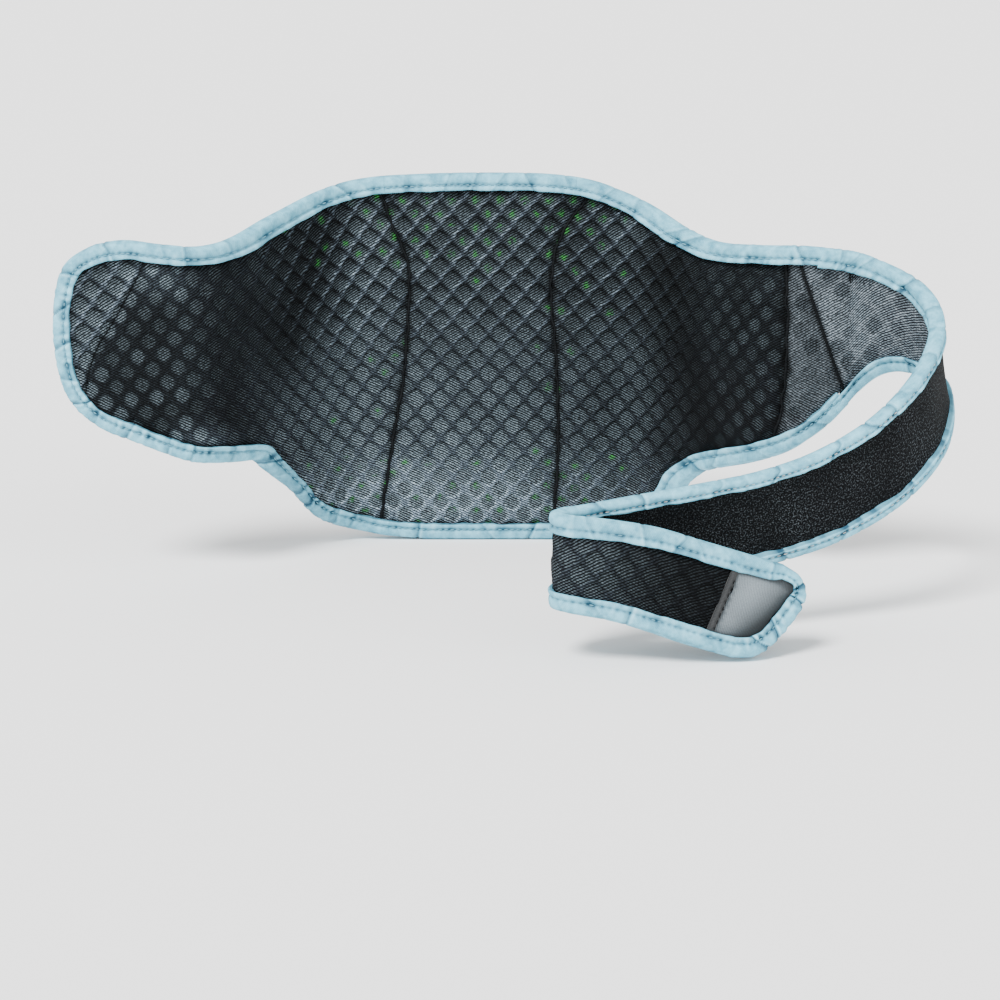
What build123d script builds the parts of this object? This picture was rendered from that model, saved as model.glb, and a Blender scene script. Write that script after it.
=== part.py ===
from build123d import *
from math import cos, hypot, radians, sin, tan
import os

os.makedirs("parts", exist_ok=True)

# A wrap-around neck gaiter standing on its lower edge, skin side towards -Y. The padded body is
# a curved wall of constant plan; a strap leaves its right wing, bends round towards -Y, runs
# back to the left, folds over and ends in a hook patch. All lengths are millimetres.

# ---- Layers of the padded body, measured back (+Y) from the skin face
LINER_THICKNESS = 2.5
CORE_THICKNESS = 3.0
SHELL_THICKNESS = 1.5
BODY_THICKNESS = LINER_THICKNESS + CORE_THICKNESS + SHELL_THICKNESS

# ---- Layers of the strap
STRAP_LINER_THICKNESS = 1.5
STRAP_PILE_THICKNESS = 1.5
STRAP_THICKNESS = STRAP_LINER_THICKNESS + STRAP_PILE_THICKNESS

# ---- Binding tape folded over every edge
BINDING_WIDTH = 6.5
BINDING_THICKNESS = 0.7

# ---- Places across the strap, as a share of the half width and a distance added to it
BOTTOM_EDGE = (-1, 0)
BOTTOM_INNER = (-1, BINDING_WIDTH)
TOP_INNER = (1, -BINDING_WIDTH)
TOP_EDGE = (1, 0)

# ---- Plan of the body: flat centre, both wings stepping towards the wearer
WING_DEPTH = 57.0
LEFT_RISE = (-52.0, -118.0)
RIGHT_RISE = (46.0, 114.0)

# ---- Where the panels meet, along X
LEFT_SEAM_X = -40.0
RIGHT_SEAM_X = 22.0
LEFT_TIP_SEAM_X = -148.0
GUSSET_SEAM_X = 104.0
ROOT_SEAM_X = 118.0
BODY_END_X = 127.0
STRAP_HINGE_X = 130.0
STRAP_HINGE_Z = 96.0
STRAP_HINGE_LENGTH = 48.0

# ---- Room for the hinge lines: each panel stops this far from its seam's axis
SEAM_CLEARANCE = 4.2
SEAM_RADIUS = 3.4
ROOT_SEAM_RADIUS = 1.9

# ---- Front outline of the body in X, Z: the outer edge of the binding
TIP_AND_TOP_EDGE = [
    (-92, 40), (-104, 42), (-118, 44.5), (-134, 50.5), (-150, 57.5), (-161, 70), (-164.5, 92),
    (-161, 114), (-151, 123), (-138, 126), (-124, 124.5), (-108, 123.5), (-96, 126),
    (-84, 132.5), (-69, 139.5), (-52, 144), (-31, 145.5), (-8, 146), (19, 145.5), (38, 142.5),
    (54, 135.5), (68, 126.5), (80, 122.5), (94, 123), (110, 124), (127, 122.5), (150, 119),
]
LEFT_FLARE = [(-92, 40), (-83, 25.5), (-72, 11), (-52, 2.5), (-30, 0)]
RIGHT_FLARE = [(30, 0), (48, 2.5), (62, 10), (71, 27)]
RIGHT_LOWER_EDGE = [(71, 27), (78, 34), (93, 41), (109, 49), (121, 57.5), (130, 67), (150, 88)]

# ---- The strap up to its fold, station by station: middle of the skin face (x, y, z), lean of
# the tape towards -Y and slant towards +X in degrees, half width
STRAP_STATIONS = [
    (133, -57.5, 96, 2, 0, 25),
    (141, -60, 97, 10, 0, 20.5),
    (149, -66, 95, 18, -3, 18),
    (154, -76, 90, 24, -9, 17),
    (154, -89, 82, 23, -15, 17),
    (147, -103, 70, 16, -19, 17),
    (132, -114, 57, 12, -19, 17),
    (112, -122, 47, 11, -16, 17),
    (91, -129.5, 41.5, 12, -11, 17),
    (71, -136.5, 39, 13, -7, 17),
    (47, -145, 37, 12, -3, 17),
    (21, -154, 35, 7, 0, 17),
]
# ---- The strap past its fold: the last stretch is flat
END_STATIONS = [
    (21, -168.5, 34, 0, 0, 24),
    (36, -169, 31.5, -4, 0, 24),
    (50, -168, 28.5, -8, 4, 24),
    (63, -166, 24, -12, 9, 24),
    (83, -162.15, 17.1, -12, 9, 24),
    (103, -158.3, 10.2, -12, 9, 24),
]
# ---- Front outline of the strap's end in X, Z
STRAP_END_TOP = [(20, 51), (36, 50), (50, 46.5), (65, 40.5), (79, 35.2), (90, 31.8)]
STRAP_END_ROUND = [(90, 31.8), (98, 29.5), (99.5, 24), (96, 14.5), (89, 5), (79, 0)]
STRAP_END_BOTTOM = [(79, 0), (64, 5.5), (50, 11.5), (36, 15.5), (20, 17.5)]
END_OVERRUN = 10.0
CUT_OVERRUN = 1.0
CUT_RISE = 0.5

# ---- The fold, a part of a ring standing between the strap's two legs
FOLD_AXIS = (21.0, -161.3)
FOLD_HEIGHTS = (18.0, 51.0)
FOLD_SPAN = (94.0, 186.0)

# ---- Hook patch on the strap's end
PATCH_THICKNESS = 1.6
PATCH_EDGE_LINE = ((78.5, 36), (68.5, 4))
PATCH_EDGE_WIDTH = 2.2
PATCH_EDGE_THICKNESS = 2.2
PATCH_MARGIN = 0.4
PATCH_STITCHES = 7
STITCH_LENGTH = 1.7
STITCH_THICKNESS = 0.5
STITCH_GAP = 0.1

# ---- Room round the model, larger than it each way, and how finely its curves are stepped
ROOM_BACK = 30.0
ROOM_FRONT = -90.0
STRAP_ROOM_FRONT = -190.0
ROOM_HEIGHT = 160.0
PLAN_SAMPLE_SPACING = 7.0
OUTLINE_STEP = 5.0


def smoothstep(t):
    """Ease from 0 to 1."""
    t = min(max(t, 0.0), 1.0)
    return t * t * (3 - 2 * t)


def plan_depth(x):
    """How far the skin face stands towards the wearer at x."""
    left = smoothstep((x - LEFT_RISE[0]) / (LEFT_RISE[1] - LEFT_RISE[0]))
    right = smoothstep((x - RIGHT_RISE[0]) / (RIGHT_RISE[1] - RIGHT_RISE[0]))
    return WING_DEPTH * (left + right)


def plan_point(x, back):
    """A point in plan, a distance back from the skin face."""
    slope = plan_depth(x + 0.5) - plan_depth(x - 0.5)
    length = hypot(slope, 1)
    return (x + back * slope / length, -plan_depth(x) + back / length)


def wall(x_from, x_to, front, back):
    """The body's wall between two x, from one depth behind the skin face to another."""
    steps = max(2, round(abs(x_to - x_from) / PLAN_SAMPLE_SPACING))
    xs = [x_from + (x_to - x_from) * i / steps for i in range(steps + 1)]
    near = [plan_point(x, front) for x in xs]
    far = [plan_point(x, back) for x in xs]
    edges = [Spline(*near), Line(near[-1], far[-1]), Spline(*far[::-1]), Line(far[0], near[0])]
    return extrude(make_face(edges), amount=ROOM_HEIGHT)


def front_prism(face, front, back):
    """Extrude a face drawn in X, Z along Y, from y = front to y = back."""
    standing = Plane(origin=(0, back, 0), x_dir=(1, 0, 0), z_dir=(0, -1, 0)) * face
    return extrude(standing, amount=back - front)


def smooth_outline(*stretches):
    """A closed face whose edge runs smoothly along each stretch, in short straight steps."""
    points = []
    for stretch in stretches:
        straight = len(stretch) == 2
        curve = Line(*stretch) if straight else Spline(*stretch)
        steps = 1 if straight else round(curve.length / OUTLINE_STEP)
        points += [curve @ (i / steps) for i in range(steps)]
    return make_face(Polyline(*points, points[0]))


def body_outline():
    """The front outline of the whole body, clockwise from under its left wing."""
    return smooth_outline(
        TIP_AND_TOP_EDGE,
        [TIP_AND_TOP_EDGE[-1], RIGHT_LOWER_EDGE[-1]],
        RIGHT_LOWER_EDGE[::-1],
        RIGHT_FLARE[::-1],
        [RIGHT_FLARE[0], LEFT_FLARE[-1]],
        LEFT_FLARE[::-1],
    )


def strap_end_outline():
    """The front outline of the strap past its fold."""
    return smooth_outline(
        STRAP_END_TOP,
        STRAP_END_ROUND,
        STRAP_END_BOTTOM,
        [STRAP_END_BOTTOM[-1], STRAP_END_TOP[0]],
    )


def ribbon_frames(stations, divisions):
    """Smooth frames along the strap: middle, width direction, skin-side normal, half width."""
    path = Spline(*[row[:3] for row in stations])
    count = len(stations) - 1
    frames = []
    for i in range(count * divisions + 1):
        position = i / divisions
        low = min(int(position), count - 1)
        share = position - low
        blend = [a + (b - a) * share for a, b in zip(stations[low][3:], stations[low + 1][3:])]
        start = path.param_at_point(Vector(*stations[low][:3]))
        end = path.param_at_point(Vector(*stations[low + 1][:3]))
        place = start + (end - start) * share
        width_dir = Vector(tan(radians(blend[1])), -tan(radians(blend[0])), 1).normalized()
        normal = (path % place).cross(width_dir).normalized()
        frames.append((path @ place, width_dir, normal, blend[2]))
    return frames


def ribbon(frames, low, high, outer, inner):
    """A layer of the strap: across from low to high, through from outer to inner.

    low and high are places across the strap; outer and inner are distances along the skin-side
    normal.
    """
    rings = []
    for middle, width_dir, normal, half in frames:
        a = middle + width_dir * (low[0] * half + low[1])
        b = middle + width_dir * (high[0] * half + high[1])
        corners = [a + normal * outer, b + normal * outer, b + normal * inner, a + normal * inner]
        rings.append(Wire.make_polygon(corners, close=True))
    return Solid.make_loft(rings, ruled=True)


def keep(name, shape, parts, pick=None):
    """Store a node, or only those of its solids that pick accepts."""
    solids = shape.solids()
    if pick:
        solids = [solid for solid in solids if pick(solid)]
    parts[name] = Compound(solids)


def between(x_from, x_to):
    """A block holding everything between two x."""
    reach = 2 * ROOM_HEIGHT
    return Pos((x_from + x_to) / 2, 0, 0) * Box(x_to - x_from, 2 * reach, 2 * reach)


def panel(parts, prefix, x_from, x_to, field, liners):
    """Core, shell and skin-side facings of one body panel, inside the binding."""
    core_front = LINER_THICKNESS
    core_back = LINER_THICKNESS + CORE_THICKNESS
    keep(prefix + "_core", wall(x_from, x_to, core_front, core_back) & field, parts)
    keep(prefix + "_shell", wall(x_from, x_to, core_back, BODY_THICKNESS) & field, parts)
    liner = wall(x_from, x_to, 0, LINER_THICKNESS) & field
    for name, start, end in liners:
        keep(name, liner & between(start, end), parts)


def body_parts(parts):
    """The padded body: three panels, their binding and the two panel seams."""
    outline = body_outline()
    inner = offset(outline, amount=-BINDING_WIDTH, kind=Kind.INTERSECTION)
    field = front_prism(inner, ROOM_FRONT, ROOM_BACK)
    rim = front_prism(outline, ROOM_FRONT, ROOM_BACK) - field

    left_end = min(x for x, z in TIP_AND_TOP_EDGE) - END_OVERRUN
    centre = (LEFT_SEAM_X + SEAM_CLEARANCE, RIGHT_SEAM_X - SEAM_CLEARANCE)
    left = (left_end, LEFT_SEAM_X - SEAM_CLEARANCE)
    right = (RIGHT_SEAM_X + SEAM_CLEARANCE, BODY_END_X)

    panel(parts, "centre", *centre, field, [("centre_liner", *centre)])
    panel(parts, "left_wing", *left, field, [
        ("left_tip_liner", left[0], LEFT_TIP_SEAM_X),
        ("left_wing_liner", LEFT_TIP_SEAM_X, left[1]),
    ])
    panel(parts, "right_wing", *right, field, [
        ("right_wing_liner", right[0], GUSSET_SEAM_X),
        ("strap_gusset", GUSSET_SEAM_X, ROOT_SEAM_X),
        ("strap_root_liner", ROOT_SEAM_X, right[1]),
    ])

    tape = (-BINDING_THICKNESS, BODY_THICKNESS + BINDING_THICKNESS)
    middle = ROOM_HEIGHT / 2
    for name, span in (("centre", centre), ("right_wing", right)):
        edge = wall(*span, *tape) & rim
        keep(name + "_top_binding", edge, parts, lambda s: s.center().Z > middle)
        keep(name + "_bottom_binding", edge, parts, lambda s: s.center().Z < middle)
    keep("left_wing_binding", wall(*left, *tape) & rim, parts)

    for name, x in (("left_panel_seam", LEFT_SEAM_X), ("right_panel_seam", RIGHT_SEAM_X)):
        axis_x, axis_y = plan_point(x, BODY_THICKNESS / 2)
        rod = Cylinder(SEAM_RADIUS, ROOM_HEIGHT, align=(Align.CENTER, Align.CENTER, Align.MIN))
        keep(name, Pos(axis_x, axis_y, 0) * rod & field, parts)


def strap_parts(parts):
    """The strap from the body's end to its fold."""
    frames = ribbon_frames(STRAP_STATIONS, 2)
    liner = (-STRAP_LINER_THICKNESS, 0)
    pile = (-STRAP_THICKNESS, -STRAP_LINER_THICKNESS)
    tape = (-STRAP_THICKNESS - BINDING_THICKNESS, BINDING_THICKNESS)
    parts["strap_liner"] = ribbon(frames, BOTTOM_INNER, TOP_INNER, *liner)
    parts["strap_pile"] = ribbon(frames, BOTTOM_INNER, TOP_INNER, *pile)
    parts["strap_top_binding"] = ribbon(frames, TOP_INNER, TOP_EDGE, *tape)
    parts["strap_bottom_binding"] = ribbon(frames, BOTTOM_EDGE, BOTTOM_INNER, *tape)
    parts["strap_root_seam"] = strap_root_seam()
    parts["strap_fold"] = strap_fold()


def strap_root_seam():
    """The rolled seam that the strap turns on, upright between it and the body."""
    y = -plan_depth(STRAP_HINGE_X) + STRAP_THICKNESS / 2
    rod = Cylinder(ROOT_SEAM_RADIUS, STRAP_HINGE_LENGTH)
    return Pos(STRAP_HINGE_X, y, STRAP_HINGE_Z) * rod


def strap_fold():
    """The bend between the strap's two legs, a part of an upright ring."""
    outer = abs(END_STATIONS[0][1] - FOLD_AXIS[1]) + BINDING_THICKNESS / 2
    ring = Circle(outer) - Circle(outer - STRAP_THICKNESS - BINDING_THICKNESS)
    angles = (FOLD_SPAN[0], sum(FOLD_SPAN) / 2, FOLD_SPAN[1])
    arc = [(2 * outer * cos(radians(a)), 2 * outer * sin(radians(a))) for a in angles]
    wedge = make_face(Polyline((0, 0), *arc, (0, 0)))
    fold = extrude(ring & wedge, amount=FOLD_HEIGHTS[1] - FOLD_HEIGHTS[0])
    return Pos(*FOLD_AXIS, FOLD_HEIGHTS[0]) * fold


def half_plane(line, shift):
    """A face covering everything on the +X side of a slanted line, moved along X by shift."""
    (x_top, z_top), (x_bottom, z_bottom) = line
    slope = (x_top - x_bottom) / (z_top - z_bottom)
    high = ROOM_HEIGHT
    top = (x_top + slope * (high - z_top) + shift, high)
    bottom = (x_bottom - slope * (z_bottom + high) + shift, -high)
    far = ROOM_HEIGHT * 2
    return make_face(Polyline(top, (far, high), (far, -high), bottom, top))


def through_cut_end(inner):
    """The face inside the strap end's binding, carried on to where the outline is cut off."""
    cut_x, cut_top = STRAP_END_TOP[0]
    start = cut_x - CUT_OVERRUN
    end = cut_x + 2 * BINDING_WIDTH
    start_top = cut_top - BINDING_WIDTH
    end_top = STRAP_END_TOP[1][1] + CUT_RISE - BINDING_WIDTH
    start_bottom = STRAP_END_BOTTOM[-1][1] + BINDING_WIDTH
    end_bottom = STRAP_END_BOTTOM[-2][1] + BINDING_WIDTH
    corners = [(start, start_top), (end, end_top), (end, end_bottom), (start, start_bottom)]
    return inner + make_face(Polyline(*corners, corners[0]))


def strap_end_parts(parts):
    """The strap past its fold."""
    frames = ribbon_frames(END_STATIONS, 2)
    outline = strap_end_outline()
    inner = offset(outline, amount=-BINDING_WIDTH, kind=Kind.INTERSECTION)
    field = front_prism(through_cut_end(inner), STRAP_ROOM_FRONT, ROOM_FRONT)
    rim = front_prism(outline, STRAP_ROOM_FRONT, ROOM_FRONT) - field

    liner = ribbon(frames, BOTTOM_EDGE, TOP_EDGE, -STRAP_LINER_THICKNESS, 0)
    pile = ribbon(frames, BOTTOM_EDGE, TOP_EDGE, -STRAP_THICKNESS, -STRAP_LINER_THICKNESS)
    back = -STRAP_THICKNESS - BINDING_THICKNESS
    tape = ribbon(frames, BOTTOM_EDGE, TOP_EDGE, back, BINDING_THICKNESS)
    keep("strap_end_liner", liner & field, parts)
    keep("strap_end_pile", pile & field, parts)
    keep("strap_end_binding", tape & rim, parts)


def hook_patch_parts(parts):
    """The hook patch on the strap end's skin side, its edge strip and that strip's stitches."""
    face = offset(strap_end_outline(), -BINDING_WIDTH - PATCH_MARGIN, kind=Kind.INTERSECTION)
    past_strip = half_plane(PATCH_EDGE_LINE, PATCH_EDGE_WIDTH)
    past_line = half_plane(PATCH_EDGE_LINE, 0)
    patch_field = front_prism(face & past_strip, STRAP_ROOM_FRONT, ROOM_FRONT)
    strip_field = front_prism(face & (past_line - past_strip), STRAP_ROOM_FRONT, ROOM_FRONT)
    keep("hook_patch", flat_layer(PATCH_THICKNESS) & patch_field, parts)
    keep("hook_patch_edge", flat_layer(PATCH_EDGE_THICKNESS) & strip_field, parts)
    keep("patch_stitching", patch_stitches(parts["hook_patch_edge"]), parts)


def patch_plane():
    """The plane of the strap's flat last stretch, facing the skin side."""
    start, end = (Vector(*row[:3]) for row in (END_STATIONS[-2], END_STATIONS[-1]))
    lean, slant = END_STATIONS[-1][3:5]
    width_dir = Vector(tan(radians(slant)), -tan(radians(lean)), 1)
    along = (end - start).normalized()
    return Plane(origin=start, x_dir=along, z_dir=along.cross(width_dir).normalized())


def flat_layer(thickness):
    """A flat layer on the skin side of the strap's last stretch, larger than the strap."""
    reach = 2 * (END_STATIONS[-1][0] - END_STATIONS[-2][0])
    slab = Box(2 * reach, 2 * reach, thickness, align=(Align.CENTER, Align.CENTER, Align.MIN))
    return patch_plane() * slab


def patch_stitches(strip):
    """A row of short stitches standing on the patch's edge strip."""
    normal = patch_plane().z_dir
    (x_top, z_top), (x_bottom, z_bottom) = PATCH_EDGE_LINE
    centre = strip.center()
    run = Vector(x_top - x_bottom, 0, z_top - z_bottom)
    run = (run - normal * run.dot(normal)).normalized()
    spread = strip.bounding_box().size.Z / (PATCH_STITCHES + 1)
    raised = centre + normal * ((PATCH_EDGE_THICKNESS + STITCH_THICKNESS) / 2 + STITCH_GAP)
    stitches = []
    for i in range(PATCH_STITCHES):
        along = (i - (PATCH_STITCHES - 1) / 2) * spread
        place = Plane(origin=raised + run * along, x_dir=run, z_dir=normal)
        stitches.append(place * Box(STITCH_LENGTH, STITCH_THICKNESS, STITCH_THICKNESS))
    return Compound([solid for stitch in stitches for solid in stitch.solids()])


def main():
    """Build every node, move the origin under the middle of the whole, and write the files."""
    parts = {}
    body_parts(parts)
    strap_parts(parts)
    strap_end_parts(parts)
    hook_patch_parts(parts)
    box = Compound([solid for shape in parts.values() for solid in shape.solids()]).bounding_box()
    shift = Vector(-box.center().X, -box.center().Y, -box.min.Z)
    for name, shape in parts.items():
        export_step(Compound(shape.solids()).translate(shift), "parts/" + name + ".step")


main()
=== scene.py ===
import math
from collections import namedtuple

import bpy
import numpy as np
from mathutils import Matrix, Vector


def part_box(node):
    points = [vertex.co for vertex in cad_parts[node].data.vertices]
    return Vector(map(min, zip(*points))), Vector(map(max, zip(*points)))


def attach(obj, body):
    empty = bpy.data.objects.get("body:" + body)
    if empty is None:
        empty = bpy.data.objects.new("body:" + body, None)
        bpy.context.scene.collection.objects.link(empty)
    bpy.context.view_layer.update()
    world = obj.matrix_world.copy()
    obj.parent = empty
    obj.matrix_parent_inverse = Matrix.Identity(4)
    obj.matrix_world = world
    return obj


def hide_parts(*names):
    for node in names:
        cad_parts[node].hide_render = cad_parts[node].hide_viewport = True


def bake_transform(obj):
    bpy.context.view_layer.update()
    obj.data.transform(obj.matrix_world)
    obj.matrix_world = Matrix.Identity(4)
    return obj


# The neck gaiter's looks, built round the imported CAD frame. Shapes are worked out in the CAD
# source's own millimetres, then moved to the row frame and scaled to metres.

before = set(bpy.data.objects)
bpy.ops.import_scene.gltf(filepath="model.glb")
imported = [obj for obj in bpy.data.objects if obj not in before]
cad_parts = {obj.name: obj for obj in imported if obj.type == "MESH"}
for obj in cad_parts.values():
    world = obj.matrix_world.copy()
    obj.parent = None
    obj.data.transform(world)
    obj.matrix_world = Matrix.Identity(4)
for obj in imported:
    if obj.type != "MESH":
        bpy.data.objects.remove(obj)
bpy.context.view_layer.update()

# ---- Driving dimensions, as in the CAD source (millimetres)
MM = 0.001
BODY_THICKNESS = 7.0
STRAP_THICKNESS = 3.0
BINDING_WIDTH = 6.5
STITCH_PITCH = 2.4
WING_DEPTH = 57.0
LEFT_RISE = (-52.0, -118.0)
RIGHT_RISE = (46.0, 114.0)
LEFT_SEAM_X = -40.0
TABLE_DROP = 16.5
SPLIT_LEFT = -45.0
SPLIT_RIGHT = 30.0
RIBBON_START_X = 118.0
OVERLAP_X = 126.0
STRAP_RISE = OVERLAP_X - RIBBON_START_X

TIP_AND_TOP_EDGE = [
    (-92, 40), (-104, 42), (-118, 44.5), (-134, 50.5), (-150, 57.5), (-161, 70), (-164.5, 92),
    (-161, 114), (-151, 123), (-138, 126), (-124, 124.5), (-108, 123.5), (-96, 126),
    (-84, 132.5), (-69, 139.5), (-52, 144), (-31, 145.5), (-8, 146), (19, 145.5), (38, 142.5),
    (54, 135.5), (68, 126.5), (80, 122.5), (94, 123), (110, 124), (127, 122.5), (150, 119),
]
LEFT_FLARE = [(-92, 40), (-83, 25.5), (-72, 11), (-52, 2.5), (-30, 0)]
RIGHT_FLARE = [(30, 0), (48, 2.5), (62, 10), (71, 27)]
RIGHT_LOWER_EDGE = [(71, 27), (78, 34), (93, 41), (109, 49), (121, 57.5), (130, 67), (150, 88)]

# ---- Seams across the body: x at a few heights z
LEFT_SEAM = [(0, -49), (26, -45), (50, -41), (67, -38), (92, -36), (111, -36), (126, -42), (146, -49)]
RIGHT_SEAM = [(0, 21), (32, 23), (54, 23), (77, 22), (100, 20), (120, 23), (137, 34), (146, 40)]
TIP_SEAM = [(40, -157), (71, -153), (85, -149), (98, -141), (116, -131), (140, -122)]
GUSSET_SEAM = [(40, 101), (52, 102), (80, 105), (116, 104), (140, 104)]
ROOT_SEAM = [(50, 136), (76, 125), (100, 116), (116, 110), (130, 105)]

# ---- The strap, station by station: middle of the skin face, lean towards -Y, slant towards +X
# and half width; the first two stand in the body's own wall
STRAP_STATIONS = [
    (118, -57, 89.4, 0, 0, 34),
    (126, -57, 92.6, 1, 0, 30),
    (133, -57.5, 96, 2, 0, 25),
    (141, -60, 97, 10, 0, 20.5),
    (149, -66, 95, 18, -3, 18),
    (154, -76, 90, 24, -9, 17),
    (154, -89, 82, 23, -15, 17),
    (147, -103, 70, 16, -19, 17),
    (132, -114, 57, 12, -19, 17),
    (112, -122, 47, 11, -16, 17),
    (91, -129.5, 41.5, 12, -11, 17),
    (71, -136.5, 39, 13, -7, 17),
    (47, -145, 37, 12, -3, 16.5),
    (27, -152.3, 35, 8, 0, 16.2),
    (20.5, -155.2, 34.6, 6, 0, 16.2),
    (17.6, -158.8, 34.3, 4, 0, 16.2),
    (16.8, -162.2, 34.2, 3, 0, 16.2),
    (17.6, -165.6, 34, 1, 0, 16.2),
    (22, -168.3, 33.6, -1, 0, 16.2),
    (36, -169, 31.8, -4, 0, 16.5),
    (50, -168, 28.5, -8, 4, 17),
    (63, -166, 24, -12, 9, 17),
    (83, -162.15, 17.1, -12, 9, 17),
    (103, -158.3, 10.2, -12, 9, 17),
]
FOLD_STATION = 16
STRAP_MIDDLE_Z = STRAP_STATIONS[1][2]

# ---- The strap's rounded end: x of the strap's middle line against the place across the strap
END_CURVE = [(79, -17), (86, -14.8), (91.5, -9.5), (96, -2), (99, 4.5), (99.8, 9.5), (97.4, 14.6), (91, 17)]
PATCH_LINE = [(67.5, -17), (75.5, 17)]
PATCH_STRIP_WIDTH = 2.2
PATCH_HALF_WIDTH = 11.3

# ---- How far cloth reaches under the tape round it
BODY_INSET = 5.4
STRAP_INSET = 5.2
PILE_INSET = 2.8
END_INSET = 5.6

# ---- Honeycomb of the spacer mesh
CELL_PITCH = 9.5
ROW_PITCH = 5.25
CELL_DEPTH = 0.75
YARN_PITCH = 0.9
GROOVE_REACH = 2.6

# ---- Spacing of the points that layers are made of, and the size of the cloth they cover
PANEL_HEIGHT = 130.0
STRAP_WIDTH = 34.0
LINER_STEP = 0.6
SHELL_STEP = 1.6
CORE_STEP = 3.0
TAPE_STEP = 0.5

# ---- The cloth simulation that blows up the panels
SWELL_STEP = 4.0
SWELL_FRAMES = 20
SWELL_LIMIT = 2.2
SWELL_CLOTH = {
    "vertex_group_mass": "sewn", "use_pressure": True, "uniform_pressure_force": 20, "quality": 6,
    "mass": 0.03, "shrink_min": -0.02,
}

# ---- The tape's section from its sewn edge to its outer edge: (share of its width, rise)
TAPE_SECTION = [
    (1.0, 0.10), (0.985, 0.62), (0.93, 0.95), (0.86, 1.0), (0.78, 0.86), (0.71, 0.42), (0.66, 0.30),
    (0.61, 0.42), (0.54, 0.85), (0.44, 1.08), (0.32, 1.15), (0.2, 1.08), (0.1, 0.86), (0.035, 0.5),
]
SEAM_SHARE = 0.66
BACK_SHARE = 0.62


# ---- Small mathematics

def smoothstep(t):
    t = np.clip(t, 0.0, 1.0)
    return t * t * (3 - 2 * t)


def ramp(value, low, high):
    return smoothstep((value - low) / (high - low))


def hill(value, centre, width):
    return np.exp(-((value - centre) / width) ** 2)


def wave(at, *terms):
    """A smooth wandering value: terms are (wavelength, size, phase)."""
    return sum(size * np.sin(2 * math.pi * at / length + phase) for length, size, phase in terms)


def humps(at, rows):
    """The sum of hills: rows are (middle, spread, size)."""
    return sum((size * hill(at, middle, spread) for middle, spread, size in rows), 0 * at)


def catmull(a, b, c, d, t):
    return 0.5 * (2 * b + (c - a) * t + (2 * a - 5 * b + 4 * c - d) * t ** 2
                  + (3 * b - a - 3 * c + d) * t ** 3)


def spline(points, spacing):
    """A smooth line through points, sampled about evenly."""
    p = np.array(points, float)
    p = np.vstack([2 * p[0] - p[1], p, 2 * p[-1] - p[-2]])
    out = []
    for i in range(1, len(p) - 2):
        steps = max(2, int(np.linalg.norm(p[i + 1] - p[i]) / spacing))
        t = (np.arange(steps) / steps)[:, None]
        out.append(catmull(p[i - 1], p[i], p[i + 1], p[i + 2], t))
    return np.vstack(out + [p[-2][None]])


def run_along(path):
    """Distance from the start of a line to each of its points."""
    return np.concatenate([[0], np.cumsum(np.linalg.norm(np.diff(path, axis=0), axis=1))])


def even(path, spacing):
    """The same line with points evenly spaced, and how far along it each comes."""
    run = run_along(path)
    at = np.linspace(0, run[-1], max(2, int(round(run[-1] / spacing)) + 1))
    return np.stack([np.interp(at, run, values) for values in path.T], 1), at


def unit(vectors):
    return vectors / np.linalg.norm(vectors, axis=-1)[..., None]


def right_normals(path):
    """Unit normals to the right of travel of a line in the plane."""
    tangent = np.gradient(path, axis=0)
    for _ in range(3):
        tangent[1:-1] = (tangent[:-2] + tangent[1:-1] * 2 + tangent[2:]) / 4
    return unit(np.stack([tangent[:, 1], -tangent[:, 0]], 1))


def table(rows, value):
    rows = np.array(rows, float)
    return np.interp(value, rows[:, 0], rows[:, 1])


def bend_table(rows, value):
    """As table, but smooth."""
    return table(spline(rows, 2.0), value)


def unit_grid(rows, columns):
    """Shares from 0 to 1 down the rows and along the columns of a grid."""
    return np.linspace(0, 1, rows)[:, None], np.linspace(0, 1, columns)[None, :]


def turned(u, v, degrees):
    angle = math.radians(degrees)
    return u * math.cos(angle) - v * math.sin(angle), u * math.sin(angle) + v * math.cos(angle)


# ---- The two surfaces: the body's upright wall and the strap's ribbon

def plan_depth(x):
    return WING_DEPTH * (ramp(x, *LEFT_RISE) + ramp(x, *RIGHT_RISE))


def body_point(x, z, lift):
    """A point of the body's wall, lifted off its skin face towards the wearer."""
    slope = plan_depth(x + 0.5) - plan_depth(x - 0.5)
    length = np.hypot(slope, 1)
    return np.stack([x - lift * slope / length, -plan_depth(x) - lift / length, z + 0 * x], -1)


def body_thickness(x):
    """The wall's thickness: pinched in the left fold, and down to the strap's where that begins."""
    return BODY_THICKNESS - 3.0 * ramp(x, 98, 120) - 2.2 * hill(x, -74, 14)


def arc_length(x):
    """Distance along the body's wall from x = 0."""
    xs = np.linspace(-175, 140, 631)
    run = run_along(np.stack([xs, plan_depth(xs)], 1))
    return np.interp(x, xs, run - np.interp(0, xs, run))


def strap_rows():
    """The strap's stations, finely interpolated and drawn out past both ends, with their runs."""
    rows = np.array(STRAP_STATIONS, float)
    fine = spline(rows, 1.0)
    run = run_along(fine[:, :3])
    at_station = [run[np.argmin(np.linalg.norm(fine[:, :3] - row[:3], axis=1))] for row in rows]
    fine = np.vstack([2 * fine[0] - fine[8], fine, 2 * fine[-1] - fine[-9]])
    run = np.concatenate([[-run[8]], run, [2 * run[-1] - run[-9]]])
    return fine, run, at_station


STRAP_FINE, STRAP_RUN, STATION_RUN = strap_rows()
FOLD_RUN = STATION_RUN[FOLD_STATION]
END_START = FOLD_RUN - 2


def run_at_x(x):
    """Distance along the strap at an x of its front leg."""
    front = STRAP_RUN > FOLD_RUN + 8
    return np.interp(x, STRAP_FINE[front, 0], STRAP_RUN[front])


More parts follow.
